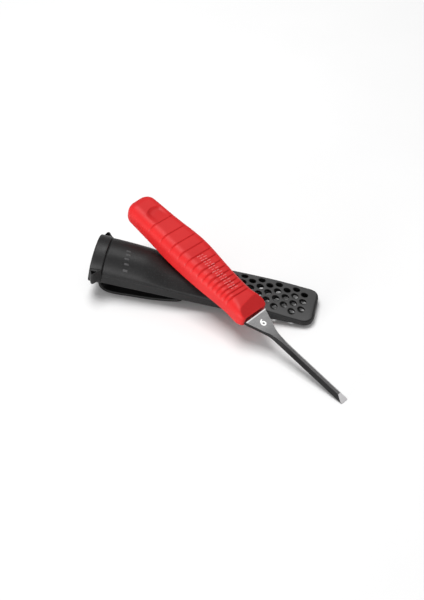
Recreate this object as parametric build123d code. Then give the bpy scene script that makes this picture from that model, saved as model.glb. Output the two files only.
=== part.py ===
from build123d import *
import os
from math import cos, radians, sin, sqrt

# Narrow scraping chisel lying across its belt sheath.  Millimetres, +Z up, floor at z = 0.
# The sheath runs along X with its mouth at -X; the tool leans on it with its edge on the floor.

# ---- chisel: local x runs from the edge to the butt, z up from the flat back of the blade
TOOL_LENGTH = 216.0
BLADE_OUT = 90.0
EDGE_WIDTH = 6.0
LAND_WIDTH = 2.2
BLADE_THICK = 3.0
SIDE_LAND = 0.9
EDGE_BEVEL = 6.0
SHOULDER_WIDTH = 20.0
SHOULDER_LENGTH = 29.0
TANG_LENGTH = 88.0
TANG_WIDTH = 9.0
NUMERAL_AT = 81.0
NUMERAL_HEIGHT = 5.8
HANDLE_TOP = 11.0
GROOVES = 14
GROOVE_FIRST = 188.5
GROOVE_WIDTH = 1.5
GROOVE_DEPTH = 0.7
SCOOP_AT, SCOOP_WIDTH, SCOOP_ASIDE = 202.2, 13.0, -1.4
FACET_TOP = 99.2

# ---- where the chisel lies
TIP_X, TIP_Y = 62.8, -79.6
TOOL_YAW = 32.8
TOOL_LEAN = 12.6

# ---- sheath: domed handle pocket at the mouth, flat perforated blade pocket at the toe
SHEATH_WIDTH = 34.4
TOE_X = 29.5
SHEATH_STATIONS = [(-142.0, 40.2, 26.1), (-98.0, 34.3, 22.0), (-76.0, 26.2, 18.2), (-45.0, 20.5, 14.8),
                   (-8.0, 14.8, 12.0), (TOE_X, 8.72, 6.4)]    # x, height of crown, height of edge
BASE_AT_ZERO, BASE_SLOPE = 2.45, 0.083
TOP_ROUND, BASE_ROUND = 3.0, 2.8
MOUTH_TILT = 0.17              # the mouth is cut square to the sloping sheath
SEAM_AT, SEAM_Z = -125.0, 38.0
RIM_AT, RIM_Z = -134.4, 40.0
WALL = 2.0
SPIGOT = 4.0
COLLAR_PROUD = 0.5
TOE_RADIUS = 8.0
HOLE_RADIUS = 2.5
HOLE_PITCH_X, HOLE_PITCH_Y = 6.5, 3.75
HOLE_COLUMNS = range(-3, 8)
EAR_TIP_X, EAR_REACH = -133.1, 24.8
EAR_BASE_Z, EAR_TOP_Z = 18.0, 28.0

# ---- belt clip
CLIP_WIDTH = 26.0
CLIP_THICK = 2.5
CLIP_TIP_X = -66.0
CLIP_PIN = (-131.0, 11.8)
PIN_RADIUS = 1.25
PIN_CLEARANCE = 0.05


def along_sheath(x, column):
    """Height read from the stations at x, straight between them."""
    rows = SHEATH_STATIONS
    i = max([k for k in range(len(rows) - 1) if rows[k][0] <= x] or [0])
    a, b = rows[i], rows[i + 1]
    return a[column] + (b[column] - a[column]) * (x - a[0]) / (b[0] - a[0])


def top_z(x):
    return along_sheath(x, 1)


def base_z(x):
    return BASE_AT_ZERO - BASE_SLOPE * x


def tool_plane():
    """Local frame of the chisel as it lies: x to the butt, z out of the land side."""
    yaw, lean = radians(TOOL_YAW), radians(TOOL_LEAN)
    along = Vector(-cos(lean) * cos(yaw), cos(lean) * sin(yaw), sin(lean))
    across = Vector(-sin(yaw), -cos(yaw), 0)
    return Plane(origin=(TIP_X, TIP_Y, 0), x_dir=along, z_dir=along.cross(across))


def prism_xz(points, width):
    """Side profile in the XZ plane, extruded symmetrically across Y."""
    face = make_face(Plane.XZ * Polyline(*points, close=True))
    return extrude(face, amount=width / 2, both=True)


# ------------------------------------------------------------------ blade
def blade_outline():
    half, root = EDGE_WIDTH / 2, SHOULDER_WIDTH / 2
    start = BLADE_OUT - SHOULDER_LENGTH
    knee, guard = (start + 13, half + 1.6), (BLADE_OUT, root)
    near = [Line((0, half), (start, half)),
            Spline((start, half), knee, guard, tangents=[(1, 0), (1, 0.33)]),
            Line(guard, (BLADE_OUT, TANG_WIDTH / 2)),
            Line((BLADE_OUT, TANG_WIDTH / 2), (BLADE_OUT + TANG_LENGTH, TANG_WIDTH / 4))]
    far = [edge.mirror(Plane.XZ) for edge in near]
    ends = [Line((0, -half), (0, half)),
            Line((BLADE_OUT + TANG_LENGTH, -TANG_WIDTH / 4), (BLADE_OUT + TANG_LENGTH, TANG_WIDTH / 4))]
    return make_face(Wire(near + far + ends))


def side_bevel():
    """Wedge that takes one long bevel off the narrow blade and runs out in the neck."""
    def section(x, y, z, out):
        return make_face(Plane.YZ.offset(x) * Polyline(
            (y, BLADE_THICK + 1), (y, BLADE_THICK), (out, z), (out, BLADE_THICK + 1), close=True))
    straight = BLADE_OUT - SHOULDER_LENGTH
    near = section(-1, LAND_WIDTH / 2, SIDE_LAND, EDGE_WIDTH / 2 + 0.01)
    body = extrude(near, amount=straight + 1, dir=(1, 0, 0))
    run_out = loft([section(straight, LAND_WIDTH / 2, SIDE_LAND, EDGE_WIDTH / 2 + 0.01),
                    section(straight + 15, 6.4, BLADE_THICK - 0.05, 6.6)], ruled=True)
    return body + run_out


def numeral(depth):
    """Plain figure 6 reading from the edge, its top towards the handle."""
    k = NUMERAL_HEIGHT / 5.8
    bowl = Circle(2.0 * k) - Circle(1.05 * k)
    stem = make_face(Wire([
        Spline((-2.0 * k, 0), (-1.35 * k, 2.35 * k), (1.3 * k, 3.8 * k), tangents=[(0, 1), (1, 0.12)]),
        Line((1.3 * k, 3.8 * k), (1.3 * k, 2.9 * k)),
        Spline((1.3 * k, 2.9 * k), (-0.5 * k, 1.95 * k), (-1.05 * k, 0), tangents=[(-1, -0.1), (0, -1)]),
        Line((-1.05 * k, 0), (-2.0 * k, 0))]))
    face = bowl + stem
    return Pos(NUMERAL_AT - 0.9 * k, 0, BLADE_THICK - depth) * Rot(0, 0, -90) * extrude(face, amount=depth)


def make_blade():
    blade = extrude(blade_outline(), amount=BLADE_THICK)
    bevel = side_bevel()
    blade = blade - bevel - bevel.mirror(Plane.XZ)
    ground = prism_xz([(-1, 0.15 - 0.5), (-1, 5), (EDGE_BEVEL + 3.9, 5), (EDGE_BEVEL, BLADE_THICK),
                       (0, 0.15)], 20)
    return blade - ground - numeral(0.25)


# ------------------------------------------------------------------ handle
def handle_section(x, width, top, base, r_top, r_base):
    half = width / 2
    face = make_face(Plane.YZ.offset(x) * Polyline(
        (-half, base), (half, base), (half, top), (-half, top), close=True))
    upper = [v for v in face.vertices() if v.Z > top - 0.01]
    face = fillet(upper, r_top)
    lower = [v for v in face.vertices() if v.Z < base + 0.01]
    return fillet(lower, r_base)


def groove_positions():
    """Groove spacing closes up steadily from the butt to the waist."""
    x, gap, places = GROOVE_FIRST, 12.3, []
    for _ in range(GROOVES):
        places.append(x)
        x -= gap
        gap = 3.0 + (gap - 3.0) * 0.79
    return places


def make_handle(blade):
    stations = [(90, 23.8, 7.6, -3.0, 4.0, 4.2), (94, 25.4, 9.0, -4.7, 4.6, 5.0),
                (99, 24.8, 10.0, -6.0, 5.0, 5.6), (106, 23.2, 10.0, -6.8, 5.4, 6.0),
                (118, 23.6, 10.2, -7.4, 5.4, 6.0), (134, 25.0, 10.8, -8.2, 5.4, 6.0),
                (150, 25.8, 11.2, -8.7, 5.4, 6.0), (168, 25.8, 11.3, -8.5, 5.4, 6.0),
                (184, 25.0, 11.2, -7.4, 5.4, 6.0), (200, 24.4, 11.0, -6.6, 5.6, 6.2),
                (216, 23.6, 10.8, -6.2, 6.2, 6.4)]
    body = loft([handle_section(*row) for row in stations])
    end = [e for e in body.edges() if e.bounding_box().min.X > TOOL_LENGTH - 0.1]
    body = fillet(end, 5.6)
    front = [e for e in body.edges() if e.bounding_box().max.X < BLADE_OUT + 0.1]
    body = fillet(front, 1.6)
    facet = prism_xz([(BLADE_OUT - 5, 0.8), (BLADE_OUT - 5, 20), (FACET_TOP + 10, 20),
                      (FACET_TOP + 0.5, 10.3), (BLADE_OUT, 4.4)], 60)
    body = body - facet
    scoop = prism_xz([(SCOOP_AT, HANDLE_TOP - 1.3), (SCOOP_AT + 0.5, HANDLE_TOP + 3),
                      (GROOVE_FIRST + 0.6, HANDLE_TOP + 3), (GROOVE_FIRST + 0.6, HANDLE_TOP + 0.1)], SCOOP_WIDTH)
    body = body - Pos(0, SCOOP_ASIDE, 0) * scoop
    for x in groove_positions():
        top = min(11.3, 10.0 + 1.2 * max(0.0, x - 106) / 40, 11.0 + 0.02 * max(0.0, 200 - x))
        cut = prism_xz([(x - 0.4, top - GROOVE_DEPTH), (x + GROOVE_WIDTH / 2, top + 1.5),
                        (x - GROOVE_WIDTH, top + 1.5)], 60)
        body = body - cut
    return body - blade


# ------------------------------------------------------------------ sheath
def sheath_section(x, grow):
    """Domed, round-cornered section of the sheath at x, offset outwards by grow."""
    half, top, edge = SHEATH_WIDTH / 2, top_z(x), along_sheath(x, 2)
    rise = top - edge
    radius = (half * half + rise * rise) / (2 * rise)
    middle = top - radius
    half, top, base = half + grow, top + grow, base_z(x) - grow
    edge = middle + sqrt((radius + grow) ** 2 - half * half)
    face = make_face(Plane.YZ.offset(x) * Wire([
        Line((-half, base), (half, base)), Line((half, base), (half, edge)),
        ThreePointArc((half, edge), (0, top), (-half, edge)), Line((-half, edge), (-half, base))]))
    upper = [v for v in face.vertices() if v.Z > edge - 0.01]
    face = fillet(upper, max(0.8, TOP_ROUND + grow))
    lower = [v for v in face.vertices() if v.Z < base + 0.01]
    return fillet(lower, max(0.8, BASE_ROUND + grow))


def sheath_body(x0, x1, grow):
    between = [row[0] for row in SHEATH_STATIONS if x0 + 0.5 < row[0] < x1 - 0.5]
    return loft([sheath_section(x, grow) for x in [x0] + between + [x1]], ruled=True)


def beyond(at, z_ref, gap=0.0):
    """Half space on the toe side of the slanted plane x = at + MOUTH_TILT (z - z_ref)."""
    low, high = at + gap - MOUTH_TILT * (z_ref + 20), at + gap + MOUTH_TILT * (80 - z_ref)
    return prism_xz([(low, -20), (60, -20), (60, 80), (high, 80)], 120)


def plan_prism(x0, x1, half, radius):
    """Tall block whose +X end has rounded plan corners."""
    block = Pos((x0 + x1) / 2, 0, 20) * Box(x1 - x0, 2 * half, 120)
    ends = [e for e in block.edges().filter_by(Axis.Z) if e.center().X > x1 - 0.1]
    return fillet(ends, radius)


def cavity():
    inside = sheath_body(-150, TOE_X - WALL, -WALL)
    return inside & plan_prism(-160, TOE_X - WALL, SHEATH_WIDTH, TOE_RADIUS - WALL)


def make_shell():
    outer = sheath_body(-141, TOE_X, 0) & plan_prism(-160, TOE_X, SHEATH_WIDTH, TOE_RADIUS)
    toe = [e for e in outer.edges() if e.bounding_box().min.X > TOE_X - TOE_RADIUS - 0.5
           and e.bounding_box().size.Z < 3.0 and e.length > 4]
    outer = fillet(toe, 1.6)
    spigot = sheath_body(-141, -110, -1.0) & beyond(SEAM_AT, SEAM_Z, -SPIGOT)
    shell = (outer & beyond(SEAM_AT, SEAM_Z)) + spigot - cavity()
    for a in HOLE_COLUMNS:
        for row in range(1, 8):
            if (row % 2 == 1) == (a % 2 == 0):
                x, y = (a - 4) * HOLE_PITCH_X, (4 - row) * HOLE_PITCH_Y
                drill = Rot(0, 9.2, 0) * Cylinder(HOLE_RADIUS, 60)
                shell = shell - Pos(x, y, top_z(x)) * drill
    return shell


def ear(side):
    """Triangular loop standing out of the collar, with a window running down through it."""
    reach, root, tip = side * EAR_REACH, side * (SHEATH_WIDTH / 2 - 0.5), EAR_TIP_X
    height = EAR_TOP_Z - EAR_BASE_Z
    outline = make_face(Polyline((tip - 3.6, root), (tip, reach), (tip + 6.6, root), close=True))
    plate = Pos(0, 0, EAR_BASE_Z) * extrude(outline, amount=height)
    apex = [e for e in plate.edges().filter_by(Axis.Z) if abs(e.center().Y) > EAR_REACH - 0.1]
    plate = fillet(apex, 1.3)
    window = make_face(Polyline((tip - 1.3, side * 19.4), (tip + 0.2, side * (EAR_REACH - 1.9)),
                                (tip + 2.8, side * 19.4), close=True))
    return plate, Pos(0, 0, EAR_BASE_Z - 4) * extrude(window, amount=height + 8)


def make_collar(shell):
    hollow = cavity()
    ring = (sheath_body(-146, -110, COLLAR_PROUD) & beyond(RIM_AT, RIM_Z)) - beyond(SEAM_AT, SEAM_Z)
    x, z = CLIP_PIN
    ring = ring + Pos(x, 0, base_z(x) - 0.4) * Box(7.0, CLIP_WIDTH + 3, 2.4)
    for side in (-1, 1):
        plate, window = ear(side)
        ring = ring + (plate & beyond(RIM_AT, RIM_Z)) - window
    ring = ring - hollow - (sheath_body(-141, -110, -1.0) & beyond(SEAM_AT, SEAM_Z, -SPIGOT))
    socket = Pos(x, 0, z) * Rot(90, 0, 0) * Cylinder(PIN_RADIUS + PIN_CLEARANCE, CLIP_WIDTH + 10)
    return ring - (sheath_body(-141, -110, 0) & beyond(SEAM_AT, SEAM_Z)) - socket


# ------------------------------------------------------------------ belt clip
def make_clip():
    x, z = CLIP_PIN
    t = CLIP_THICK
    lower = [(x - 1.25, z), (x - 1.1, 8.0), (x + 1.0, 3.4), (x + 5.5, 0.9), (-118, 0)]
    upper = [(-118, t), (x + 6.4, 3.4), (x + 3.4, 5.4), (x + 1.35, 8.6), (x + 1.25, z)]
    tip_top = base_z(CLIP_TIP_X - 2) - 0.12
    outline = [Spline(*lower, tangents=[(0, -1), (1, 0)]),
               Line((-118, 0), (-92, 0)),
               Spline((-92, 0), (-80, 1.1), (CLIP_TIP_X, 3.4), tangents=[(1, 0), (1, 0.28)]),
               Line((CLIP_TIP_X, 3.4), (CLIP_TIP_X + 0.4, 5.2)),
               Spline((CLIP_TIP_X + 0.4, 5.2), (CLIP_TIP_X - 2, tip_top), (CLIP_TIP_X - 5.4, 5.0),
                      tangents=[(-0.4, 1), (-0.6, -1)]),
               Spline((CLIP_TIP_X - 5.4, 5.0), (-80, 1.1 + t), (-92, t), tangents=[(-1, -0.28), (-1, 0)]),
               Line((-92, t), (-118, t)),
               Spline(*upper, tangents=[(-1, 0), (0, 1)]),
               Line((x + 1.25, z), (x - 1.25, z))]
    strap = extrude(make_face(Plane.XZ * Wire(outline)), amount=CLIP_WIDTH / 2, both=True)
    plan = Pos(-98, 0, 10) * Box(90, CLIP_WIDTH, 60)
    corners = [e for e in plan.edges().filter_by(Axis.Z) if e.center().X > -70]
    plan = Pos(CLIP_TIP_X + 0.6 + 98 - 45, 0, 0) * fillet(corners, 5.0)
    bead = Pos(x, 0, z) * Rot(90, 0, 0) * Cylinder(PIN_RADIUS, CLIP_WIDTH)
    return (strap & plan) + bead


def build():
    place = tool_plane().location
    blade, handle, figure = make_blade(), None, numeral(0.25)
    handle = make_handle(blade)
    shell = make_shell()
    collar = make_collar(shell)
    clip = make_clip()
    pieces = {"blade": place * blade, "handle": place * handle, "size_numeral": place * figure,
              "sheath_shell": shell, "mouth_collar": collar, "belt_clip": clip}
    boxes = [solid.bounding_box() for solid in pieces.values()]
    low = [min(getattr(b.min, axis) for b in boxes) for axis in "XYZ"]
    high = [max(getattr(b.max, axis) for b in boxes) for axis in "XYZ"]
    shift = Pos(-(low[0] + high[0]) / 2, -(low[1] + high[1]) / 2, -low[2])
    os.makedirs("parts", exist_ok=True)
    for name, solid in pieces.items():
        moved = shift * solid
        export_step(moved, f"parts/{name}.step")
        b = moved.bounding_box()
        print(name, len(moved.solids()), [round(v, 2) for v in (*b.min, *b.max)], round(moved.volume, 1))
    print("shift", shift.position)


build()
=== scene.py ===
from math import atan2, cos, exp, hypot, pi, radians, sin, sqrt

import bmesh
import bpy
from mathutils import Matrix, Vector, geometry


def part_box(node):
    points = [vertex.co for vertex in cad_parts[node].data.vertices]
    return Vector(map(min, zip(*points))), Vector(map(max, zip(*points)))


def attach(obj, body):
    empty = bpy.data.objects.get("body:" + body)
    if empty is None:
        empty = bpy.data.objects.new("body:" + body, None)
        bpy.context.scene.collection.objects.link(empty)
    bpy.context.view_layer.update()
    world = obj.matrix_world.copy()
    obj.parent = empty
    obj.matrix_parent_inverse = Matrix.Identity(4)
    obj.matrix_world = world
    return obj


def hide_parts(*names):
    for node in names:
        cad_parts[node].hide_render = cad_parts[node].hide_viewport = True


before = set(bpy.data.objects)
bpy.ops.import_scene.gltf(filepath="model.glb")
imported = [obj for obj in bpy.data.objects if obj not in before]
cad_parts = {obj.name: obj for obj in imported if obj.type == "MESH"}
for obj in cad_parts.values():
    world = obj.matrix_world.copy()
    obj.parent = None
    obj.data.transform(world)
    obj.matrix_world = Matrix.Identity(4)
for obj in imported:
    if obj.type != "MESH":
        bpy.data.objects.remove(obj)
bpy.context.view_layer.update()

# A narrow chisel lying across its perforated belt sheath. Sizes are in millimetres; place() and
# tool() turn sheath and chisel coordinates into the scene's metres.
MM = 0.001

# ------------------------------------------------------------------ chisel sizes
LENGTH, BLADE_OUT = 216.0, 90.0  # the whole chisel, and where its blade enters the handle
LEAN, YAW, TIP = 12.6, 32.8, (62.8, -79.6)  # slope and turn in degrees, and the edge's middle

THICK, SIDE_HEIGHT, BEVEL_WIDTH = 3.0, 0.9, 1.9  # blade, and its side and bevel beside the land
BEVEL_FADE = (57.0, 79.0)  # the side bevels run out between these
BLADE_HALF = [(0, 3.0), (62, 3.0), (66, 3.0), (69, 3.15), (72, 3.75), (75, 4.75), (80, 6.55),
              (90, 10.0)]
EDGE_GRIND, EDGE_THICK, EDGE_SLOPE = 6.2, 0.18, 0.47
BEAD_AT, BEAD_LONG, BEAD_HIGH = 87.8, 1.5, 0.42
FIGURE_AT, FIGURE_SCALE, STROKE_HALF, BOWL_R = 80.5, 0.94, 0.54, 1.55

# rows of s, width, top, base, top edge radius, base edge radius
HANDLE = [(90, 23.8, 8.0, -3.0, 4.0, 4.2), (94, 25.4, 9.4, -4.7, 4.6, 5.0),
          (99, 24.8, 10.2, -6.0, 5.0, 5.6), (106, 23.2, 10.1, -6.8, 5.4, 6.0),
          (118, 23.6, 10.2, -7.4, 5.4, 6.0), (134, 25.0, 10.8, -8.2, 5.4, 6.0),
          (150, 25.8, 11.2, -8.7, 5.4, 6.0), (168, 25.8, 11.3, -8.5, 5.4, 6.0),
          (184, 25.0, 11.2, -7.4, 5.4, 6.0), (200, 24.4, 11.0, -6.6, 5.6, 6.2),
          (216, 23.6, 10.8, -6.2, 6.2, 6.4)]
BUTT_R, BUTT_CROWN, FRONT_R = 7.5, 0.72, 1.8
BULGE, BULGE_AT, BULGE_SPREAD = 2.1, 158.0, 21.0  # swelling of the far side
NEAR_SOFT = 2.2  # extra radius of the near top edge
GROOVE_FIRST, GROOVE_COUNT, GROOVE_TILT = 188.5, 14, 0.066
GROOVE_GAP, GROOVE_GAP_MIN, GROOVE_CLOSING = 12.3, 3.0, 0.79  # the gaps shrink towards 3 mm
GROOVE_DEEP, GROOVE_HALF, GROOVE_CLOSE = 0.5, 0.40, (125.0, 165.0)  # deeper where close together
STEP_DEEP, STEP_LONG = 0.16, 3.0  # the shallow slope down to each groove
BARS_FROM, BARS_GAP, BARS_COUNT = 148.0, 2.05, 18
BAR_ROWS = (((-1.9, 1.0), (1.2, 1.6)), ((-2.6, 1.5), (0.9, 1.1)))  # (middle, half length) across
SCOOP_BACK, SCOOP_Y, SCOOP_DEEP, SCOOP_CURVE = 202.6, -1.9, 2.0, 0.055
FACET_LOW, FACET_TILT, FACET_SLOPE, FACET_REACH = 6.4, 0.06, 0.42, 14.0
# up to the last of these the front facet gets a darker red, painted shade for its turn away from
# the light
LIP_DEEP, LIP_LONG, FACET_SHADE_END = 0.5, 0.8, 99.5

# ------------------------------------------------------------------ sheath and clip sizes
SHEATH_HALF, WALL, TOE_X, SHELL_START = 17.2, 2.0, 29.5, -127.2
MOUTH_TILT, SEAM_AT, SEAM_Z, RIM_AT, RIM_Z = 0.17, -125.0, 38.0, -134.4, 40.0
SEAM_REACH = 16.0  # the slanted seam pulls points along this length
# rows of x, top, top at the edge
STATIONS = [(-142.0, 40.2, 26.1), (-98.0, 34.3, 22.0), (-76.0, 26.2, 18.2), (-45.0, 20.5, 14.8),
            (-8.0, 14.8, 12.0), (29.5, 8.72, 6.4)]
BASE0, BASE_FALL, TOP_ROUND, BASE_ROUND = 2.45, 0.083, 3.0, 2.8
TOE_CORNER, TOE_SINK = 8.0, 2.4  # radii at the toe, seen from above and from the side
TOE_SOFT, TOE_SOFT_X = 1.6, (-20.0, 15.0)  # sharper top edge, softer base edge towards the toe
LEDGE, LEDGE_X, LEDGE_Y = 0.5, (-75.0, -25.0), (8.0, 15.0)  # step between the skin and skirt
LEDGE_Z, LEDGE_FALL, LEDGE_R, LEDGE_LOW = 9.67, 0.0955, 0.35, 0.25
SKIN_Y, MOUTH_Y = 13.95, 12.0  # half widths of the flat patches and of the mouth's crown
HOLE_R, PITCH_X, PITCH_Y, HOLE_SOFT = 2.5, 6.5, 3.75, 0.6
HOLES = [((a - 4) * PITCH_X, (4 - row) * PITCH_Y) for a in range(-3, 8) for row in range(1, 8)
         if (row % 2 == 1) == (a % 2 == 0)]
COLLAR_OUT, COLLAR_LIP, COLLAR_BACK = 0.5, 1.25, 0.6
EAR_TIP, EAR_TILT, EAR_LOW, EAR_HIGH, EAR_SOFT = -133.1, 0.06, 18.0, 28.0, 0.6
CLIP_WIDE, CLIP_THICK, CLIP_SOFT, CLIP_END_R, CLIP_END_THIN = 26.0, 2.5, 0.8, 5.0, 0.9
CLIP_LINE = [(-131.0, 11.6), (-130.9, 8.2), (-129.2, 4.6), (-125.4, 2.2), (-118.0, 1.25),
             (-105.0, 1.25), (-92.0, 1.25), (-80.0, 2.35), (-70.5, 4.0), (-67.2, 5.6)]

# ------------------------------------------------------------------ camera
CAMERA_UP, CAMERA_ROUND, CAMERA_AWAY = 45.606, 12.389, 1.0  # degrees, degrees, metres
PIXELS_PER_METRE, IMAGE_HEIGHT, SENSOR = 1368.0, 600.0, 36.0
AIM_Z, AIM_RIGHT, AIM_UP = 13.5, -47.295, -4.287

shell_low, shell_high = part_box("sheath_shell")
ORIGIN = Vector((shell_high[0] / MM - TOE_X, (shell_low[1] + shell_high[1]) / 2 / MM, 0.0))


def place(x, y, z):
    """Sheath coordinates in mm to the scene."""
    return (Vector((x, y, z)) + ORIGIN) * MM


yaw, lean = radians(YAW), radians(LEAN)
T_S = Vector((-cos(lean) * cos(yaw), cos(lean) * sin(yaw), sin(lean)))
T_Y = Vector((-sin(yaw), -cos(yaw), 0.0))
T_N = T_S.cross(T_Y)


def tool(s, y, h):
    """Chisel coordinates in mm: s from the edge, y to the near side, h up from the flat back."""
    return (Vector((TIP[0], TIP[1], 0.0)) + ORIGIN + T_S * s + T_Y * y + T_N * h) * MM


def smooth(a, b, x):
    """Smooth step from 0 at a to 1 at b."""
    t = min(1.0, max(0.0, (x - a) / (b - a)))
    return t * t * (3 - 2 * t)


def interp(table, x):
    """Cubic interpolation through rows (x, a, b, ...), as a list [a, b, ...]."""
    n = len(table)
    if x <= table[0][0]:
        return list(table[0][1:])
    if x >= table[-1][0]:
        return list(table[-1][1:])
    i = max(k for k in range(n - 1) if table[k][0] <= x)
    x0, x1 = table[i][0], table[i + 1][0]
    t = (x - x0) / (x1 - x0)
    out = []
    for c in range(1, len(table[0])):
        y0, y1 = table[i][c], table[i + 1][c]
        ya = table[i - 1][c] if i > 0 else y0
        yb = table[i + 2][c] if i + 2 < n else y1
        xa = table[i - 1][0] if i > 0 else x0 - (x1 - x0)
        xb = table[i + 2][0] if i + 2 < n else x1 + (x1 - x0)
        m0 = (y1 - ya) / (x1 - xa) * (x1 - x0)
        m1 = (yb - y0) / (xb - x0) * (x1 - x0)
        out.append((2 * t**3 - 3 * t**2 + 1) * y0 + (t**3 - 2 * t**2 + t) * m0
                   + (-2 * t**3 + 3 * t**2) * y1 + (t**3 - t**2) * m1)
    return out


def catmull_rom(points, steps):
    """A smooth curve through 2-D points, steps to a span, up to but not including the last."""
    path = []
    for i in range(len(points) - 1):
        p0, p1 = Vector(points[max(0, i - 1)]), Vector(points[i])
        p2, p3 = Vector(points[i + 1]), Vector(points[min(len(points) - 1, i + 2)])
        for k in range(steps):
            u = k / steps
            path.append(0.5 * ((2 * p1) + (p2 - p0) * u + (2 * p0 - 5 * p1 + 4 * p2 - p3) * u * u
                               + (3 * p1 - p0 - 3 * p2 + p3) * u**3))
    return path


def heading(path, i):
    return (path[min(i + 1, len(path) - 1)] - path[max(i - 1, 0)]).normalized()


def stitch(a, b):
    """Quads between two closed rings of vertex numbers."""
    n = len(a)
    return [(a[k], a[(k + 1) % n], b[(k + 1) % n], b[k]) for k in range(n)]


def fan(ring, centre):
    n = len(ring)
    return [(ring[k], ring[(k + 1) % n], centre) for k in range(n)]


def tube(count, n, closed=False):
    """Quads along count rings of n vertices, numbered from 0; closed joins last to first."""
    faces = []
    for i in range(count if closed else count - 1):
        j = (i + 1) % count
        faces += stitch(range(i * n, i * n + n), range(j * n, j * n + n))
    return faces


def mesh(name, verts, faces, material, body, smooth_shade=True, merge=0.0):
    """A mesh object that rides on a body; merge joins vertices closer than that."""
    me = bpy.data.meshes.new(name)
    me.from_pydata([tuple(v) for v in verts], [], faces)
    bm = bmesh.new()
    bm.from_mesh(me)
    if merge:
        bmesh.ops.remove_doubles(bm, verts=bm.verts, dist=merge)
    bmesh.ops.recalc_face_normals(bm, faces=bm.faces)
    bm.to_mesh(me)
    bm.free()
    for p in me.polygons:
        p.use_smooth = smooth_shade
    obj = bpy.data.objects.new(name, me)
    bpy.context.scene.collection.objects.link(obj)
    me.materials.append(material)
    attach(obj, body)
    return obj


def bevel(obj, width, segments=2, angle=30.0):
    m = obj.modifiers.new("edge", "BEVEL")
    m.width, m.segments = width * MM, segments
    m.limit_method, m.angle_limit = "ANGLE", radians(angle)
    m.harden_normals = False


# ------------------------------------------------------------------ materials
# Noise scales are in cells per metre, so 2600 is a grain of about 0.4 mm.
def new_material(name):
    m = bpy.data.materials.new(name)
    m.use_nodes = True
    nt = m.node_tree
    nt.nodes.clear()
    out = nt.nodes.new("ShaderNodeOutputMaterial")
    bsdf = nt.nodes.new("ShaderNodeBsdfPrincipled")
    nt.links.new(bsdf.outputs[0], out.inputs[0])
    return m, nt, bsdf


def coords(nt, scale=(1, 1, 1), rotation=(0, 0, 0), output="Object"):
    """Texture coordinates, turned and stretched."""
    tc = nt.nodes.new("ShaderNodeTexCoord")
    mp = nt.nodes.new("ShaderNodeMapping")
    mp.inputs["Scale"].default_value = scale
    mp.inputs["Rotation"].default_value = rotation
    nt.links.new(tc.outputs[output], mp.inputs[0])
    return mp.outputs[0]


def noise_tex(nt, vec, scale, detail=4.0, rough=0.5):
    n = nt.nodes.new("ShaderNodeTexNoise")
    n.inputs["Scale"].default_value = scale
    n.inputs["Detail"].default_value = detail
    n.inputs["Roughness"].default_value = rough
    nt.links.new(vec, n.inputs["Vector"])
    return n.outputs[0]


def ramp(nt, fac, stops):
    """Colour ramp through stops of (position, (r, g, b))."""
    r = nt.nodes.new("ShaderNodeValToRGB")
    while len(r.color_ramp.elements) < len(stops):
        r.color_ramp.elements.new(0.5)
    for e, (p, c) in zip(r.color_ramp.elements, stops):
        e.position = p
        e.color = (*c, 1.0)
    nt.links.new(fac, r.inputs[0])
    return r.outputs[0]


def span(nt, fac, low, high):
    """A factor of 0 to 1 spread from low to high."""
    m = nt.nodes.new("ShaderNodeMapRange")
    m.inputs["To Min"].default_value = low
    m.inputs["To Max"].default_value = high
    nt.links.new(fac, m.inputs[0])
    return m.outputs[0]


def mix(nt, fac, a, b, kind="MIX"):
    """Colour mix; each of fac, a and b is a constant or a socket."""
    m = nt.nodes.new("ShaderNodeMix")
    m.data_type = "RGBA"
    m.blend_type = kind
    for sock, val in ((m.inputs[0], fac), (m.inputs[6], a), (m.inputs[7], b)):
        if isinstance(val, (int, float)):
            sock.default_value = val
        elif isinstance(val, tuple):
            sock.default_value = (*val, 1.0)
        else:
            nt.links.new(val, sock)
    return m.outputs[2]


def bump(nt, bsdf, layers):
    """Chained bumps, each (height socket, strength, distance in metres)."""
    normal = None
    for height, strength, distance in layers:
        b = nt.nodes.new("ShaderNodeBump")
        b.inputs["Strength"].default_value = strength
        b.inputs["Distance"].default_value = distance
        nt.links.new(height, b.inputs["Height"])
        if normal is not None:
            nt.links.new(normal, b.inputs["Normal"])
        normal = b.outputs[0]
    nt.links.new(normal, bsdf.inputs["Normal"])


def along(nt, direction, zero, start, end):
    """Smooth 0 to 1 along a direction, between start and end in millimetres after zero."""
    tc = nt.nodes.new("ShaderNodeTexCoord")
    dot = nt.nodes.new("ShaderNodeVectorMath")
    dot.operation = "DOT_PRODUCT"
    dot.inputs[1].default_value = tuple(direction)
    nt.links.new(tc.outputs["Object"], dot.inputs[0])
    m = nt.nodes.new("ShaderNodeMapRange")
    m.interpolation_type = "SMOOTHSTEP"
    m.inputs["From Min"].default_value = zero + start * MM
    m.inputs["From Max"].default_value = zero + end * MM
    nt.links.new(dot.outputs["Value"], m.inputs[0])
    return m.outputs[0]


def pointiness(nt):
    """Below 0.5 in grooves, above it on edges."""
    return nt.nodes.new("ShaderNodeNewGeometry").outputs["Pointiness"]


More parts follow.
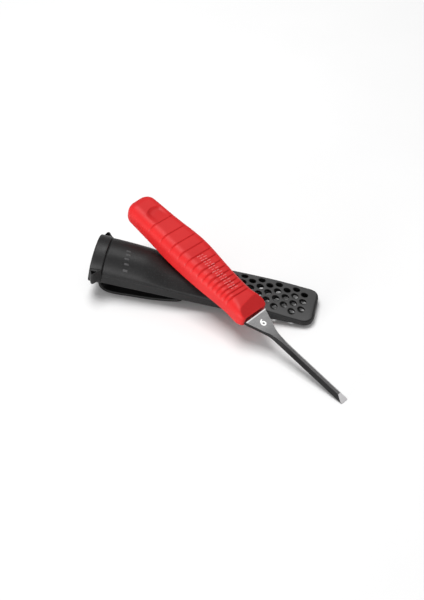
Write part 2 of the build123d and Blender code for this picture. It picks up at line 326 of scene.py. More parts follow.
def red_plastic(name, low, high):
    """Satin moulding with a fine grain, with painted shade darkening its grooves."""
    m, nt, b = new_material(name)
    v = coords(nt)
    broad = noise_tex(nt, v, 55.0, 3.0)
    fine = noise_tex(nt, v, 2600.0, 2.0)
    col = ramp(nt, broad, [(0.3, low), (0.7, high)])
    # painted shade: creases and grooves, found by their low pointiness, are darkened
    groove_shade = ramp(nt, pointiness(nt), [(0.44, (0.40, 0.008, 0.010)), (0.505, (1.0, 1.0, 1.0)),
                                     (0.60, (1.0, 1.0, 1.0))])
    nt.links.new(mix(nt, 0.55, col, groove_shade, "MULTIPLY"), b.inputs["Base Color"])
    nt.links.new(span(nt, noise_tex(nt, v, 420.0, 3.0), 0.40, 0.56), b.inputs["Roughness"])
    b.inputs["Specular IOR Level"].default_value = PLASTIC_SPECULAR
    bump(nt, b, [(fine, 0.10, 0.0001), (noise_tex(nt, v, 900.0, 2.0), 0.06, 0.0002)])
    return m


def black_plastic(name, tone, rough=(0.42, 0.56), painted_sheen=0.0):
    """Fine-grained black moulding; its last argument paints light onto the upward faces over the
    perforated half, a painted sheen.
    """
    m, nt, b = new_material(name)
    v = coords(nt)
    broad = noise_tex(nt, v, 40.0, 4.0)
    dark, light = (tone * 0.85, tone * 0.84, tone * 0.86), (tone * 1.2, tone * 1.17, tone * 1.2)
    col = ramp(nt, broad, [(0.3, dark), (0.7, light)])
    speck = ramp(nt, noise_tex(nt, v, 1500.0, 3.0, 0.7),
                 [(0.55, (0, 0, 0)), (0.75, (0.05, 0.05, 0.05))])
    col = mix(nt, 0.5, col, speck, "ADD")
    # painted light: faces turned upwards along the perforated half are made lighter
    if painted_sheen:
        sheen_lift = along(nt, Vector((1, 0, 0)), ORIGIN.x * MM, *PAINTED_SHEEN_X)
        flat = nt.nodes.new("ShaderNodeSeparateXYZ")
        nt.links.new(coords(nt, output="Normal"), flat.inputs[0])
        sheen_lift = mix(nt, 1.0, ramp(nt, sheen_lift, [(0.0, (0, 0, 0)), (1.0, (painted_sheen, painted_sheen, painted_sheen))]),
                   ramp(nt, flat.outputs[2], [(0.82, (0, 0, 0)), (0.95, (1, 1, 1))]), "MULTIPLY")
        col = mix(nt, 1.0, col, sheen_lift, "ADD")
    nt.links.new(col, b.inputs["Base Color"])
    nt.links.new(span(nt, noise_tex(nt, v, 260.0, 3.0), *rough), b.inputs["Roughness"])
    b.inputs["Specular IOR Level"].default_value = PLASTIC_SPECULAR
    bump(nt, b, [(noise_tex(nt, v, 1900.0, 3.0), 0.18, 0.00012)])
    return m


def steel(name, shank, shoulder, ground, bead, rough):
    """Steel with grinding lines along the blade; a tone each for its shank, shoulder, ground edge
    and bead; the bead's brighter tone is partly a painted highlight."""
    def grey(t):
        return (t, t * 0.985, t * 0.99)

    m, nt, b = new_material(name)
    turn = (0.0, 0.0, -atan2(T_S.y, T_S.x))
    streak = noise_tex(nt, coords(nt, (60.0, 2400.0, 2400.0), turn), 1.0, 3.0, 0.6)
    broad = noise_tex(nt, coords(nt), 160.0, 4.0)
    edge = tool(0, 0, 0).dot(T_S)
    base = mix(nt, along(nt, T_S, edge, *SHOULDER_TONE), grey(shank), grey(shoulder))
    base = mix(nt, along(nt, T_S, edge, *GROUND_TONE), grey(ground), base)
    # the bead is brighter steel, partly a painted highlight for the bright line at the handle's
    # front
    base = mix(nt, along(nt, T_S, edge, *BEAD_GLINT_TONE), base, grey(bead))
    lines = ramp(nt, streak, [(0.25, (0.84, 0.84, 0.84)), (0.75, (1.0, 1.0, 1.0))])
    tint = ramp(nt, broad, [(0.3, (0.90, 0.90, 0.91)), (0.7, (1.0, 1.0, 1.0))])
    base = mix(nt, 1.0, mix(nt, 1.0, base, lines, "MULTIPLY"), tint, "MULTIPLY")
    nt.links.new(base, b.inputs["Base Color"])
    b.inputs["Metallic"].default_value = 1.0
    nt.links.new(span(nt, streak, *rough), b.inputs["Roughness"])
    b.inputs["Anisotropic"].default_value = 0.3
    bump(nt, b, [(streak, 0.06, 0.00005)])
    return m


def white_paint():
    """Thin paint with a little unevenness, for the figure on the blade."""
    m, nt, b = new_material("numeral_paint")
    v = coords(nt)
    col = ramp(nt, noise_tex(nt, v, 900.0, 4.0),
               [(0.3, (0.84, 0.84, 0.83)), (0.6, (0.95, 0.95, 0.94))])
    nt.links.new(col, b.inputs["Base Color"])
    nt.links.new(span(nt, noise_tex(nt, v, 1400.0), 0.5, 0.7), b.inputs["Roughness"])
    bump(nt, b, [(noise_tex(nt, v, 2500.0), 0.1, 0.00005)])
    return m


PLASTIC_SPECULAR = 0.2
# where tones and painted light change: along the sheath from its origin, where its top is painted
# lighter, and along the blade from its edge, where the bead's brighter tone is partly a painted
# highlight
PAINTED_SHEEN_X = (-60.0, -15.0)
GROUND_TONE, SHOULDER_TONE, BEAD_GLINT_TONE = (6.0, 6.3), (60.0, 82.0), (88.0, 88.3)

RED = red_plastic("red_moulding", (0.49, 0.012, 0.013), (0.53, 0.015, 0.015))
# painted shade: a darker red for the front facet, which faces away from the light
RED_FRONT_SHADED = red_plastic("red_front_facet_painted_shade", (0.41, 0.009, 0.010), (0.44, 0.011, 0.012))
# a lighter, pinker red for the raised grip bars
RED_BARS_LIGHTER = red_plastic("grip_bars_lighter", (0.60, 0.10, 0.10), (0.66, 0.14, 0.14))
# the sheath's moulding carries painted light on its upward faces along the perforated half
BLACK = black_plastic("sheath_moulding", 0.009, painted_sheen=0.040)
COLLAR = black_plastic("collar_moulding", 0.012, (0.40, 0.54))
# painted highlight: the ticks are given a lighter black
TICK_HIGHLIGHT = black_plastic("ticks_painted_highlight", 0.045)
# painted shade: the clip, lying under the sheath, gets a blacker tone
CLIP_SHADED = black_plastic("clip_moulding_painted_shade", 0.004, (0.45, 0.6))
STEEL = steel("blade_steel", 0.26, 0.52, 0.62, 0.80, (0.17, 0.25))
DARK_STEEL = steel("blade_dark_sides", 0.028, 0.028, 0.03, 0.03, (0.34, 0.46))
PAINT = white_paint()


# ------------------------------------------------------------------ handle
def grooves():
    """Where the grooves cross the middle, from the butt end to the front."""
    s, gap, out = GROOVE_FIRST, GROOVE_GAP, []
    for _ in range(GROOVE_COUNT):
        out.append(s)
        s -= gap
        gap = GROOVE_GAP_MIN + (gap - GROOVE_GAP_MIN) * GROOVE_CLOSING
    return out


GROOVES = grooves()


def box_bars(spots, low, high, chamfer):
    """Small chamfered bars; each spot is (centre, long half, short half, to_scene)."""
    verts, faces = [], []
    for centre, long_half, short_half, to_scene in spots:
        base = len(verts)
        for inset, h in ((0.0, low), (chamfer, high)):
            for a, b in ((-1, -1), (1, -1), (1, 1), (-1, 1)):
                verts.append(to_scene(centre[0] + a * (short_half - inset),
                                      centre[1] + b * (long_half - inset), h))
        faces += [tuple(base + k for k in f) for f in
                  ((3, 2, 1, 0), (4, 5, 6, 7), (0, 1, 5, 4), (1, 2, 6, 5), (2, 3, 7, 6),
                   (3, 0, 4, 7))]
    return verts, faces


def rounded_rect(half, top, base, rt, rn, rb):
    """Closed outline as (y, z, ny, nz), always the same number of points.

    rt, rn and rb are the radii of the far top edge, the near top edge and the base edges.
    """
    pts = []

    def arc(cy, cz, r, a0, a1, n):
        for i in range(n):
            a = radians(a0 + (a1 - a0) * i / (n - 1))
            pts.append((cy + r * cos(a), cz + r * sin(a), cos(a), sin(a)))

    def run(y0, z0, y1, z1, ny, nz, n):
        for i in range(1, n):
            t = i / n
            pts.append((y0 + (y1 - y0) * t, z0 + (z1 - z0) * t, ny, nz))

    arc(half - rn, top - rn, rn, 0, 90, 12)
    run(half - rn, top, -half + rt, top, 0, 1, 22)
    arc(-half + rt, top - rt, rt, 90, 180, 12)
    run(-half, top - rt, -half, base + rb, -1, 0, 6)
    arc(-half + rb, base + rb, rb, 180, 270, 9)
    run(-half + rb, base, half - rb, base, 0, -1, 8)
    arc(half - rb, base + rb, rb, 270, 360, 9)
    run(half, base + rb, half, top - rn, 1, 0, 6)
    return pts


def groove_depth(s, y, half):
    """Depth of a groove or its slope at (s, y), where the handle has this half width."""
    deepest = 0.0
    for g in GROOVES:
        u = s - g - GROOVE_TILT * y
        if -STEP_LONG < u < 1.6:
            close = 1 - smooth(*GROOVE_CLOSE, g)
            wide = GROOVE_HALF + 0.26 * close * smooth(2.0, 9.0, y)
            cut = exp(-(u / wide) ** 2) * (GROOVE_DEEP + 0.25 * close)
            step = STEP_DEEP * (1 + u / STEP_LONG) if u < 0 else 0.0
            far_fade = 1.0 - 0.75 * smooth(half - 4.2, half - 2.2, -y)
            deepest = max(deepest, (cut + step) * far_fade)
    return deepest


def scoop_depth(s, y):
    """Depth of the thumb scoop, which ends at a curved wall near the butt."""
    back = SCOOP_BACK - SCOOP_CURVE * (y - SCOOP_Y) ** 2
    if not GROOVES[0] < s < back:
        return 0.0
    u = (s - GROOVES[0]) / (back - GROOVES[0])
    deep = SCOOP_DEEP * (1 - u ** 6) * min(1.0, 1.15 * u)
    return deep * (1 - smooth(3.8, 8.4, abs(y - SCOOP_Y)))


def handle_ring(s):
    """The handle's outline at s, as (y, height)."""
    width, top, base, top_r, base_r = interp(HANDLE, s)
    half = width / 2
    if s > LENGTH - BUTT_R:
        d = BUTT_R - sqrt(max(0.0, BUTT_R**2 - (s - LENGTH + BUTT_R) ** 2))
        half -= d
        top -= d * BUTT_CROWN
        base += d * BUTT_CROWN
        top_r, base_r = max(1.6, top_r - d * 0.5), max(1.6, base_r - d * 0.5)
    if s < BLADE_OUT + FRONT_R:
        d = FRONT_R - sqrt(max(0.0, FRONT_R**2 - (BLADE_OUT + FRONT_R - s) ** 2))
        half -= d
        base += d
        base_r = max(1.0, base_r - d)
    bulge = BULGE * exp(-((s - BULGE_AT) / BULGE_SPREAD) ** 2)
    near_r = top_r + (NEAR_SOFT * smooth(BLADE_OUT + 4.0, BLADE_OUT + 20.0, s)
                      * (1 - smooth(LENGTH - 8.0, LENGTH, s)))
    ring = []
    for y, z, ny, nz in rounded_rect(half, top, base, top_r, near_r, base_r):
        cut = max(groove_depth(s, y, half), scoop_depth(s, y)) * smooth(0.12, 0.85, nz)
        y -= ny * cut
        z -= nz * cut
        if y < 0:
            y *= 1 + bulge / half
        if s < BLADE_OUT + FACET_REACH and nz > 0.05:
            facet = FACET_LOW + FACET_TILT * y + (s - BLADE_OUT) * FACET_SLOPE
            if s < BLADE_OUT + LIP_LONG:
                facet -= LIP_DEEP * (1 - (s - BLADE_OUT) / LIP_LONG)
            z = min(z, facet)
        ring.append((y, z))
    return ring


def handle_stations():
    """Places of the rings, closer together at grooves, scoop, front and butt."""
    stations, s = [], BLADE_OUT
    while s < LENGTH - 0.01:
        stations.append(s)
        near = min(abs(s - g) for g in GROOVES)
        step = 0.22 if near < 1.6 or abs(s - SCOOP_BACK + 1.0) < 1.8 or s < 93 else 0.55
        if s > LENGTH - 3:
            step = 0.12 + 0.35 * (LENGTH - s) / 3
        s += step
    return stations + [LENGTH]


def build_handle():
    """The moulding: rings along its length, a recessed front, and a flat butt."""
    stations = handle_stations()
    verts = []
    for s in stations:
        ring = handle_ring(s)
        verts += [tool(s, y, z) for y, z in ring]
    n = len(ring)
    faces = tube(len(stations), n)
    # the two ends, as (size of the ring, how far in)
    for row, s, insets in ((0, BLADE_OUT, ((0.93, 0.0), (0.91, 0.4), (0.9, 2.2), (0.5, 2.2))),
                           (len(stations) - 1, LENGTH, ((0.75, 0.0), (0.5, 0.0), (0.25, 0.0)))):
        ring = handle_ring(s)
        middle = sum(z for _, z in ring) / n
        prev = range(row * n, row * n + n)
        for t, push in insets:
            start = len(verts)
            verts += [tool(s + push, y * t, middle + (z - middle) * t) for y, z in ring]
            faces += stitch(prev, range(start, start + n))
            prev = range(start, start + n)
        verts.append(tool(s + push, 0.0, middle))
        faces += fan(prev, len(verts) - 1)
    obj = mesh("handle_moulding", verts, faces, RED, "tool")
    obj.data.materials.append(RED_FRONT_SHADED)
    # painted shade: the front facet's faces, turned towards the edge, take the darker red
    facet_shade_end = tool(FACET_SHADE_END, 0, 0).dot(T_S)
    for p in obj.data.polygons:
        if p.center.dot(T_S) < facet_shade_end and p.normal.dot(T_S) < -0.3 and p.normal.dot(T_N) > 0.8:
            p.material_index = 1
    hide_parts("handle")


def build_grip_bars():
    """A strip of small raised bars, a plain grip texture along the middle of the handle."""
    def on_handle(s, y, h):
        return tool(s + 0.15 * y, y, interp(HANDLE, s)[1] + h)

    spots = [((BARS_FROM - BARS_GAP * i, middle), half, 0.5, on_handle)
             for i in range(BARS_COUNT) for middle, half in BAR_ROWS[i % 2]]
    verts, faces = box_bars(spots, -0.6, 0.2, 0.22)
    obj = mesh("handle_grip_bars", verts, faces, RED_BARS_LIGHTER, "tool", smooth_shade=False)
    bevel(obj, 0.1, 2)


# ------------------------------------------------------------------ blade
def blade_section(s):
    """Half width, height of the side, half width of the flat land, and height of the land."""
    half = interp(BLADE_HALF, s)[0]
    width = BEVEL_WIDTH * (1 - smooth(*BEVEL_FADE, s))
    land, side = half - width, THICK - width * (THICK - SIDE_HEIGHT) / BEVEL_WIDTH
    top = THICK
    if s < EDGE_GRIND:
        top = min(THICK, EDGE_THICK + s * EDGE_SLOPE)
        if top <= side:
            side, land = top, half
        else:
            land = half - (top - side) / (THICK - side) * width
    if BEAD_AT < s < BEAD_AT + BEAD_LONG:
        u = (s - BEAD_AT) / BEAD_LONG
        top += BEAD_HIGH * (min(1.0, u / 0.6) - smooth(0.75, 1.0, u))
    return half, side, land, top


def build_blade():
    """Bevel-sided blade with its ground edge and the bead on its shoulder."""
    stations = [0, 0.5, 1, 1.53, 2, 3, 4, 5, 5.6, 6.0, EDGE_GRIND]
    stations += [EDGE_GRIND + i * 2.0 for i in range(1, 26)]
    stations += [BEVEL_FADE[0] + i * 0.75 for i in range(1, 41)]
    stations += [BEAD_AT + 0.15 * i for i in range(11)] + [89.4, 91.5]
    stations = sorted(set(stations))
    verts = []
    for s in stations:
        half, side, land, top = blade_section(s)
        pts = [(-half, 0), (half, 0), (half, side), (land, top), (land * 0.33, top),
               (-land * 0.33, top), (-land, top), (-half, side)]
        verts += [tool(s, y, z) for y, z in pts]
    n = len(pts)
    faces = tube(len(stations), n)
    faces.append(tuple(range(n - 1, -1, -1)))
    faces.append(tuple(range(len(verts) - n, len(verts))))
    obj = mesh("blade_steel", verts, faces, STEEL, "tool", smooth_shade=False, merge=1e-7)
    # the sides and the near bevel are darker than the ground faces
    obj.data.materials.append(DARK_STEEL)
    for p in obj.data.polygons:
        across, up = p.normal.dot(T_Y), p.normal.dot(T_N)
        dark = abs(across) > 0.5 and (across > 0 or up < 0.3) and up > -0.5
        p.material_index = 1 if dark else 0
    bevel(obj, 0.12, 2, 18)
    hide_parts("blade")


def build_numeral():
    """The size figure, one raised painted stroke with its top towards the handle."""
    path = catmull_rom([(1.35, 3.30), (0.45, 3.12), (-0.55, 2.50), (-1.22, 1.50), (-1.55, 0.10)], 6)
    for k in range(37):
        a = radians(180 + 316 * k / 36)
        path.append(Vector((BOWL_R * cos(a), BOWL_R * sin(a))))
    wide, verts = STROKE_HALF, []
    profile = [(-wide, -0.1), (-wide, 0.03), (-wide + 0.07, 0.06), (wide - 0.07, 0.06),
               (wide, 0.03), (wide, -0.1)]
    for i, p in enumerate(path):
        d = heading(path, i)
        for across, h in profile:
            u, v = p.x - d.y * across, p.y + d.x * across
            verts.append(tool(FIGURE_AT + FIGURE_SCALE * v, -FIGURE_SCALE * u, THICK + h))
    n = len(profile)
    faces = tube(len(path), n)
    faces.append(tuple(range(n)))
    faces.append(tuple(range(len(verts) - 1, len(verts) - n - 1, -1)))
    obj = mesh("size_figure", verts, faces, PAINT, "tool", smooth_shade=False)
    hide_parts("size_numeral")


# ------------------------------------------------------------------ sheath
def toe_inset(x, r, end):
    """How far a corner of radius r, which ends at end, has come in at x."""
    if x <= end - r:
        return 0.0
    return r - sqrt(max(0.0, r * r - (x - end + r) ** 2))


def section_at(x, grow):
    """Sizes of the sheath's section at x, offset outwards by grow."""
    top, edge = interp(STATIONS, x)
    rise = top - edge
    radius = (SHEATH_HALF**2 + rise * rise) / (2 * rise)
    middle = top - radius
    end = TOE_X + grow
    side = SHEATH_HALF + grow - toe_inset(x, TOE_CORNER + grow, end)
    sink = toe_inset(x, TOE_SINK + grow * 0.5, end)
    base = BASE0 - BASE_FALL * x - grow + sink
    ledge = LEDGE * (1 - smooth(*LEDGE_X, x)) if grow == 0 else 0.0
    return radius + grow, middle - sink, side, base, ledge


def top_at(x, y, grow):
    """Height of the domed upper skin at y, with its edge rounded into the wall."""
    radius, middle, side, _, ledge = section_at(x, grow)
    a = abs(y)
    step = ledge * smooth(*LEDGE_Y, a)
    radius, side = radius - step, side - step
    rho = min(max(1.0, TOP_ROUND + grow - TOE_SOFT * smooth(*TOE_SOFT_X, x)), side - 0.5)
    yc = side - rho
    zc = middle + sqrt(max(0.01, (radius - rho) ** 2 - yc * yc))
    touch = radius * yc / (radius - rho)
    if a <= touch:
        return middle + sqrt(max(0.0, radius * radius - a * a))
    return zc + sqrt(max(0.0, rho * rho - (a - yc) ** 2))


def base_at(x, y, grow):
    """Height of the lower skin at y, with its edge rounded into the wall."""
    _, _, side, base, _ = section_at(x, grow)
    rho = min(max(1.0, BASE_ROUND + grow + TOE_SOFT * smooth(*TOE_SOFT_X, x)), side - 0.5)
    over = abs(y) - (side - rho)
    return base if over <= 0 else base + rho - sqrt(max(0.0, rho * rho - over * over))


def wall_points(x, grow, y0, n_arc=12, n_wall=4):
    """One side of the section from (y0, top) round the edge and down the wall to (y0, base)."""
    _, _, side, _, ledge = section_at(x, grow)
    upper = side - ledge
    pts = []
    for i in range(1, n_arc + 1):
        y = y0 + (upper - y0) * sin(pi / 2 * i / n_arc)
        pts.append((y, top_at(x, y, grow)))
    z_edge, z_low = pts[-1][1], base_at(x, side, grow)
    line = min(z_edge - 0.5, max(z_low + 0.5, LEDGE_Z - LEDGE_FALL * x))
    for i in range(1, n_wall + 1):
        pts.append((upper, z_edge + (line + LEDGE_R - z_edge) * i / n_wall))
    for i in range(1, 5):
        a = pi / 2 * i / 4
        pts.append((upper + ledge * sin(a), line + LEDGE_R * cos(a) - LEDGE_LOW * (i == 4)))
    for i in range(1, 4):
        pts.append((side, line - LEDGE_LOW + (z_low - line + LEDGE_LOW) * i / 4))
    for i in range(n_arc + 1):
        y = y0 + (side - y0) * sin(pi / 2 * (1 - i / n_arc))
        pts.append((y, base_at(x, y, grow)))
    return pts


def mouth_ring(at, z_ref, grow):
    """Closed ring of points of the section, lying in the slanted plane of the mouth."""
    def outline(x):
        y0 = MOUTH_Y
        side = wall_points(x, grow, y0)
        top = [(y0 - 2 * y0 * i / 24, top_at(x, y0 - 2 * y0 * i / 24, grow)) for i in range(25)]
        low = [(-y0 + 2 * y0 * i / 12, base_at(x, -y0 + 2 * y0 * i / 12, grow))
               for i in range(1, 12)]
        return top + [(-y, z) for y, z in side] + low + list(reversed(side))

    ring = []
    for j, (_, z) in enumerate(outline(at)):
        x = at + MOUTH_TILT * (z - z_ref)
        y, z = outline(x)[j]
        ring.append((at + MOUTH_TILT * (z - z_ref), y, z))
    return ring


def to_holes(x, y):
    """Distance to the middle of the nearest drain hole."""
    return min(hypot(x - cx, y - cy) for cx, cy in HOLES)


def skin_stations(x0, x1):
    """Places along the sheath about 1.5 mm apart, closer together at the toe."""
    nx = int((x1 - x0) / 1.5)
    xs = [x0 + (x1 - x0) * i / nx for i in range(nx)] + [x1 - 0.9, x1 - 0.45, x1 - 0.15, x1]
    return sorted(set(round(x, 4) for x in xs))


def skin_patch(x0, x1):
    """Flat triangulation of the top or bottom wall in (x, y), with rings of points at each hole.

    Returns the points, the triangles, the rim of each hole, the stations along the two sides,
    the point at each (station, side), and the points along the toe end.
    """
    n_hole, n_end = 28, 18
    xs = skin_stations(x0, x1)
    pts = [(x, -SKIN_Y) for x in xs]
    pts += [(x1, -SKIN_Y + 2 * SKIN_Y * i / n_end) for i in range(1, n_end)]
    pts += [(x, SKIN_Y) for x in reversed(xs)]
    pts += [(x0, SKIN_Y - 2 * SKIN_Y * i / n_end) for i in range(1, n_end)]
    edges = [(i, (i + 1) % len(pts)) for i in range(len(pts))]
    rims = []
    for cx, cy in HOLES:
        for ring, out in enumerate((0.0, 0.12, 0.28, 0.5, 0.75)):
            first, rad = len(pts), HOLE_R + out
            for i in range(n_hole):
                a = 2 * pi * (i + 0.5 * (ring % 2)) / n_hole
                pts.append((cx + rad * cos(a), cy + rad * sin(a)))
            edges += [(first + i, first + (i + 1) % n_hole) for i in range(n_hole)]
            if ring == 0:
                rims.append([first + i for i in range(n_hole)])
    for i, x in enumerate(xs[1:-1]):
        y = -SKIN_Y + 1.2 + (0.6 if i % 2 else 0.0)
        while y < SKIN_Y - 0.8:
            if to_holes(x, y) > HOLE_R + 1.15:
                pts.append((x, y))
            y += 1.3
    res = geometry.delaunay_2d_cdt([Vector(p) for p in pts], edges, [], 0, 1e-6)
    flat = [(v.x, v.y) for v in res[0]]
    tris = []
    for f in res[2]:
        cx = sum(flat[i][0] for i in f) / len(f)
        cy = sum(flat[i][1] for i in f) / len(f)
        if to_holes(cx, cy) >= HOLE_R * 0.995 and x0 < cx < x1 and -SKIN_Y < cy < SKIN_Y:
            tris.append(list(f))
    where = {o: i for i, orig in enumerate(res[3]) for o in orig}
    rims = [[where[i] for i in rim] for rim in rims]
    at_side = {}
    for i, (x, y) in enumerate(flat):
        for side in (-1, 1):
            if abs(y - side * SKIN_Y) < 1e-5:
                at_side[(round(x, 4), side)] = i
    return flat, tris, rims, xs, at_side, end_points(flat, x1)


def end_points(flat, x):
    """Numbers of the points on the line at x, in order across the sheath."""
    return sorted([i for i, p in enumerate(flat) if abs(p[0] - x) < 1e-5],
                  key=lambda i: flat[i][1])


def squeeze(x, y, grow):
    """Plan rounding of the toe: pulls y in where the end corners are rounded off."""
    end = TOE_X + grow
    side = SHEATH_HALF + grow - toe_inset(x, TOE_CORNER + grow, end)
    return y * side / (SHEATH_HALF + grow) if x > end - TOE_CORNER - grow else y


def rim_drop(x, y):
    """How far the skin rolls down towards a drain hole."""
    d, r = to_holes(x, y) - HOLE_R, HOLE_SOFT
    return 0.0 if d >= r else r - sqrt(max(0.0, r * r - (r - max(d, 0.0)) ** 2))


def slant(x, z, x0):
    """Moves points near the mouth end onto the slanted seam."""
    shift = SEAM_AT + MOUTH_TILT * (z - SEAM_Z) - x0
    return x + shift * (1 - smooth(x0, x0 + SEAM_REACH, x))


def add_wall(verts, faces, grow, side, xs, tops, lows):
    """One side wall of a skin, between its top and bottom patches; returns its rows of vertices."""
    rows = []
    for x, top, low in zip(xs, tops, lows):
        y0 = abs(squeeze(x, SKIN_Y, grow))
        row = [top]
        for j, (y, z) in enumerate(wall_points(x, grow, y0)[:-1]):
            moved = slant(x, z, SHELL_START)
            if moved != x:
                y, z = wall_points(moved, grow, y0)[j]
            verts.append(place(moved, side * y, z))
            row.append(len(verts) - 1)
        rows.append(row + [low])
    for a, b in zip(rows[:-1], rows[1:]):
        faces += [(a[j], b[j], b[j + 1], a[j + 1]) for j in range(len(a) - 1)]
    return rows


def add_cap(verts, faces, loop):
    """Closes an end with shrinking copies of its loop and a point in the middle."""
    centre = sum((verts[i] for i in loop), Vector()) / len(loop)
    prev = loop
    for t in (0.8, 0.55, 0.25):
        start = len(verts)
        verts += [centre + (verts[i] - centre) * t for i in loop]
        faces += stitch(prev, range(start, len(verts)))
        prev = range(start, len(verts))
    verts.append(centre)
    faces += fan(prev, len(verts) - 1)


def add_hole(verts, faces, outer, inner):
    """The wall of a drain hole, between its rims in the two skins."""
    steps = [outer]
    for t in (0.33, 0.66):
        start = len(verts)
        verts += [verts[i].lerp(verts[j], t) for i, j in zip(outer, inner)]
        steps.append(range(start, len(verts)))
    steps.append(inner)
    for a, b in zip(steps[:-1], steps[1:]):
        faces += stitch(a, b)


def build_shell():
    """Outer and inner skins, each with a capped toe, joined at the mouth and through the holes."""
    verts, faces, mouths, rims = [], [], [], {}
    for grow in (0.0, -WALL):
        outer = grow == 0.0
        flat, tris, flat_rims, xs, at_side, ends = skin_patch(SHELL_START, TOE_X + grow)
        starts = []
        for lower in (False, True):
            start = len(verts)
            starts.append(start)
            height = base_at if lower else top_at
            sign = (1 if lower else -1) * (1 if outer else -1)
            for x, y in flat:
                yy = squeeze(x, y, grow)
                xx = slant(x, height(x, yy, grow), SHELL_START)
                drop = rim_drop(x, y) * (1.0 if outer else 0.25)
                verts.append(place(xx, yy, height(xx, yy, grow) + sign * drop))
            faces += [tuple(start + i for i in f) for f in tris]
            rims[(outer, lower)] = [[start + i for i in rim] for rim in flat_rims]
        walls = {}
        for side in (-1, 1):
            links = [at_side[(x, side)] for x in xs]
            walls[side] = add_wall(verts, faces, grow, side, xs, [starts[0] + i for i in links],
                                   [starts[1] + i for i in links])

        def end_loop(points, row):
            up, down = [starts[0] + i for i in points], [starts[1] + i for i in points]
            return up + walls[1][row][1:-1] + down[::-1] + walls[-1][row][1:-1][::-1]

        add_cap(verts, faces, end_loop(ends, -1))
        mouths.append(end_loop(end_points(flat, SHELL_START), 0))
    faces += stitch(*mouths)
    for lower in (False, True):
        for outer_rim, inner_rim in zip(rims[(True, lower)], rims[(False, lower)]):
            add_hole(verts, faces, outer_rim, inner_rim)
    obj = mesh("sheath_perforated_shell", verts, faces, BLACK, "sheath")
    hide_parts("sheath_shell")


def build_collar():
    """Band round the mouth, from a profile of (distance from the rim, offset of the skin)."""
    length = SEAM_AT - RIM_AT + MOUTH_TILT * (RIM_Z - SEAM_Z) - 0.3
    lip, back, profile = COLLAR_LIP, COLLAR_BACK, []
    for i in range(6):
        a = pi / 2 * i / 5
        profile.append((length - back + back * cos(a), COLLAR_OUT - back + back * sin(a)))
    for i in range(1, 6):
        profile.append((length - back - (length - 1.9) * i / 6, COLLAR_OUT))
    for i in range(9):
        a = pi * i / 8
        profile.append((lip - lip * sin(a), COLLAR_OUT - lip + lip * cos(a)))
    for i in range(1, 6):
        profile.append((lip + (length - lip) * i / 6, -WALL))
    profile += [(length, -WALL), (length, -back)]
    verts = []
    for d, grow in profile:
        ring = mouth_ring(RIM_AT + d, RIM_Z, grow)
        verts += [place(*p) for p in ring]
    faces = tube(len(profile), len(ring), closed=True)
    obj = mesh("mouth_collar_ring", verts, faces, COLLAR, "sheath", merge=1e-6)
    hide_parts("mouth_collar")


def loop_points(corners, radii, n):
    """Closed polygon with rounded corners, resampled to n points by length."""
    pts = []
    m = len(corners)
    for i in range(m):
        p, a, b = Vector(corners[i]), Vector(corners[i - 1]), Vector(corners[(i + 1) % m])
        u, v = (a - p).normalized(), (b - p).normalized()
        half = u.angle(v) / 2
        t = radii[i] / max(0.05, sin(half) / cos(half))
        c = p + (u + v).normalized() * (radii[i] / sin(half))
        s, e = p + u * t - c, p + v * t - c
        turn = s.angle(e)
        for k in range(9):
            w = k / 8
            d = (s * sin((1 - w) * turn) + e * sin(w * turn)) / sin(turn)
            pts.append(c + d)
    total, acc = 0.0, [0.0]
    for i in range(len(pts)):
        total += (pts[(i + 1) % len(pts)] - pts[i]).length
        acc.append(total)
    out = []
    for k in range(n):
        d = total * k / n
        i = max(j for j in range(len(pts)) if acc[j] <= d + 1e-9)
        seg = acc[i + 1] - acc[i]
        t = (d - acc[i]) / seg if seg > 1e-9 else 0
        out.append(pts[i].lerp(pts[(i + 1) % len(pts)], t))
    return out


def build_ear(side, name):
    """Triangular loop on the collar with a window running down through it."""
    n, tip, e, low, high = 60, EAR_TIP, EAR_SOFT, EAR_LOW, EAR_HIGH
    outer = loop_points([(tip - 3.5, side * 16.0), (tip, side * 25.1), (tip + 6.8, side * 16.0)],
                        [0.8, 1.5, 0.8], n)
    inner = loop_points([(tip - 1.3, side * 19.4), (tip + 0.2, side * 22.9),
                         (tip + 2.8, side * 19.4)], [0.4, 0.5, 0.4], n)
    # rings as (outline, how far it shrinks, height): up the outside, over, and down the window
    rings = ((outer, 0, low + e), (outer, 0, low + 4), (outer, 0, high - e),
             (outer, e * 0.3, high - e * 0.3), (outer, e, high), (inner, -e * 0.6, high),
             (inner, -e * 0.2, high - e * 0.3), (inner, 0, high - e), (inner, 0, low + 4),
             (inner, 0, low + e), (inner, -e * 0.6, low), (outer, e, low),
             (outer, e * 0.3, low + e * 0.3))
    verts = []
    for pts, shrink, z in rings:
        centre = sum(pts, Vector((0, 0))) / n
        for p in pts:
            q = p + (centre - p).normalized() * shrink
            verts.append(place(q.x + EAR_TILT * (z - high), q.y, z))
    obj = mesh(name, verts, tube(len(rings), n, closed=True), COLLAR, "sheath")
    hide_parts("mouth_collar")


def build_ticks():
    """Five small raised ticks across the top of the sheath, near its mouth."""
    def on_top(x, y, h):
        return place(x, y, top_at(x, y, 0.0) + h)

    spots = [((-110.0 + 0.4 * (i % 2), -14.5 + 3.0 * i), 0.55, 1.8, on_top) for i in range(5)]
    verts, faces = box_bars(spots, -0.15, 0.45, 0.25)
    # the ticks' lighter black is a painted highlight
    obj = mesh("sheath_ticks", verts, faces, TICK_HIGHLIGHT, "sheath", smooth_shade=False)
    bevel(obj, 0.08, 2)


# ------------------------------------------------------------------ belt clip
def clip_section(left):
    """Half width and half thickness of the strap where this much of its length is left."""
    half, thick = CLIP_WIDE / 2, CLIP_THICK / 2
    r, thin = CLIP_END_R, CLIP_END_THIN
    if left < r:
        half -= r - sqrt(max(0.0, r * r - (r - left) ** 2))
    if left < thin:
        thick -= thin - sqrt(max(0.0, 0.81 - (thin - left) ** 2)) * 0.95
    return half, max(thick, 0.3)


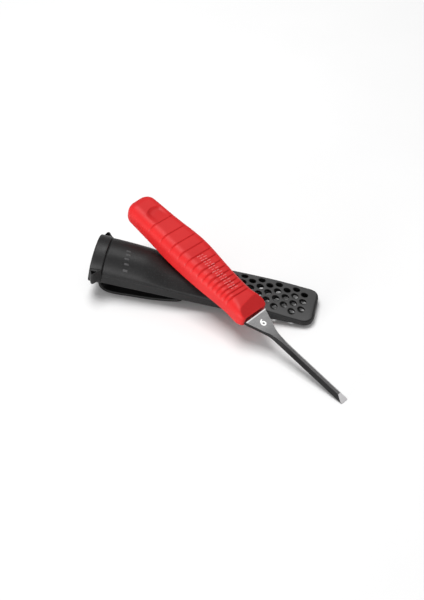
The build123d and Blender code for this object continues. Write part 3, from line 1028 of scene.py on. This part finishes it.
def build_clip():
    """The strap: a rounded section swept along the clip's line, rounded off at its free end."""
    path = catmull_rom(CLIP_LINE, 8) + [Vector(CLIP_LINE[-1])]
    total = sum((b - a).length for a, b in zip(path[:-1], path[1:]))
    verts, run = [], 0.0
    for i, p in enumerate(path):
        if i:
            run += (p - path[i - 1]).length
        d = heading(path, i)
        out = Vector((-d.y, d.x))
        half, thick = clip_section(total - run)
        r = min(CLIP_SOFT, thick * 0.9)
        section = []
        for cy, cz, a0 in ((half - r, thick - r, 0), (-(half - r), thick - r, 90),
                           (-(half - r), -(thick - r), 180), (half - r, -(thick - r), 270)):
            for k in range(6):
                a = radians(a0 + 18 * k)
                section.append((cy + r * cos(a), cz + r * sin(a)))
        for y, h in section:
            q = p + out * h
            verts.append(place(q.x, y, max(0.0, q.y)))
    n = len(section)
    faces = tube(len(path), n)
    faces.append(tuple(range(n)))
    faces.append(tuple(range(len(verts) - 1, len(verts) - n - 1, -1)))
    # the strap's blacker moulding is painted shade
    obj = mesh("belt_clip_strap", verts, faces, CLIP_SHADED, "clip")
    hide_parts("belt_clip")


# ------------------------------------------------------------------ stage
def floor():
    """A plain pale floor, just under the object."""
    m, nt, b = new_material("floor_paper")
    v = coords(nt)
    col = ramp(nt, noise_tex(nt, v, 6.0, 3.0),
               [(0.3, (0.755, 0.755, 0.755)), (0.7, (0.775, 0.775, 0.775))])
    nt.links.new(col, b.inputs["Base Color"])
    b.inputs["Roughness"].default_value = 0.9
    b.inputs["Specular IOR Level"].default_value = 0.1
    me = bpy.data.meshes.new("floor")
    me.from_pydata([(-4, -4, 0), (4, -4, 0), (4, 4, 0), (-4, 4, 0)], [], [(0, 1, 2, 3)])
    obj = bpy.data.objects.new("floor", me)
    bpy.context.scene.collection.objects.link(obj)
    obj.location.z = -0.0002
    me.materials.append(m)


def area(name, at, aim, size, power):
    """A rectangular light: places and size in metres, power in watts."""
    data = bpy.data.lights.new(name, "AREA")
    data.shape, data.size, data.size_y = "RECTANGLE", size[0], size[1]
    data.energy = power
    obj = bpy.data.objects.new(name, data)
    bpy.context.scene.collection.objects.link(obj)
    obj.location = at
    obj.rotation_euler = (Vector(aim) - Vector(at)).to_track_quat("-Z", "Y").to_euler()


def camera():
    """The camera at the photograph's angle, aimed so that the object fills the same place."""
    elev, azim = radians(CAMERA_UP), radians(CAMERA_ROUND)
    back = Vector((sin(azim) * cos(elev), -cos(azim) * cos(elev), sin(elev)))
    right = Vector((cos(azim), sin(azim), 0.0))
    up = back.cross(right)
    aim = place(0, 0, AIM_Z) + (right * AIM_RIGHT + up * AIM_UP) * MM
    data = bpy.data.cameras.new("camera")
    data.sensor_width = SENSOR
    data.sensor_fit = "AUTO"
    data.lens = PIXELS_PER_METRE * CAMERA_AWAY / IMAGE_HEIGHT * SENSOR
    data.clip_start, data.clip_end = 0.05, 20.0
    obj = bpy.data.objects.new("camera", data)
    bpy.context.scene.collection.objects.link(obj)
    rot = Matrix((right, up, back)).transposed().to_4x4()
    rot.translation = aim + back * CAMERA_AWAY
    obj.matrix_world = rot
    bpy.context.scene.camera = obj


def lights():
    """Even white surroundings, a soft overhead light, a low fill and a card for the edge."""
    world = bpy.data.worlds.new("studio")
    world.use_nodes = True
    bg = world.node_tree.nodes.get("Background")
    bg.inputs[0].default_value = (1.0, 1.0, 1.0, 1.0)
    bg.inputs[1].default_value = 0.42
    bpy.context.scene.world = world
    area("overhead", (-0.24, 0.14, 1.47), (0, 0, 0), (0.9, 0.7), 21.0)
    area("front_fill", (-0.60, -1.04, 0.10), (0, 0, 0.02), (0.8, 0.18), 14.0)
    area("edge_card", (0.72, 0.03, 0.62), (0.05, -0.07, 0), (0.42, 0.42), 0.45)
    view = bpy.context.scene.view_settings
    view.view_transform, view.look = "Standard", "None"


camera()
lights()
floor()
build_handle()
build_grip_bars()
build_blade()
build_shell()
build_collar()
build_ear(1, "ear_far")
build_ear(-1, "ear_near")
build_ticks()
build_clip()
build_numeral()
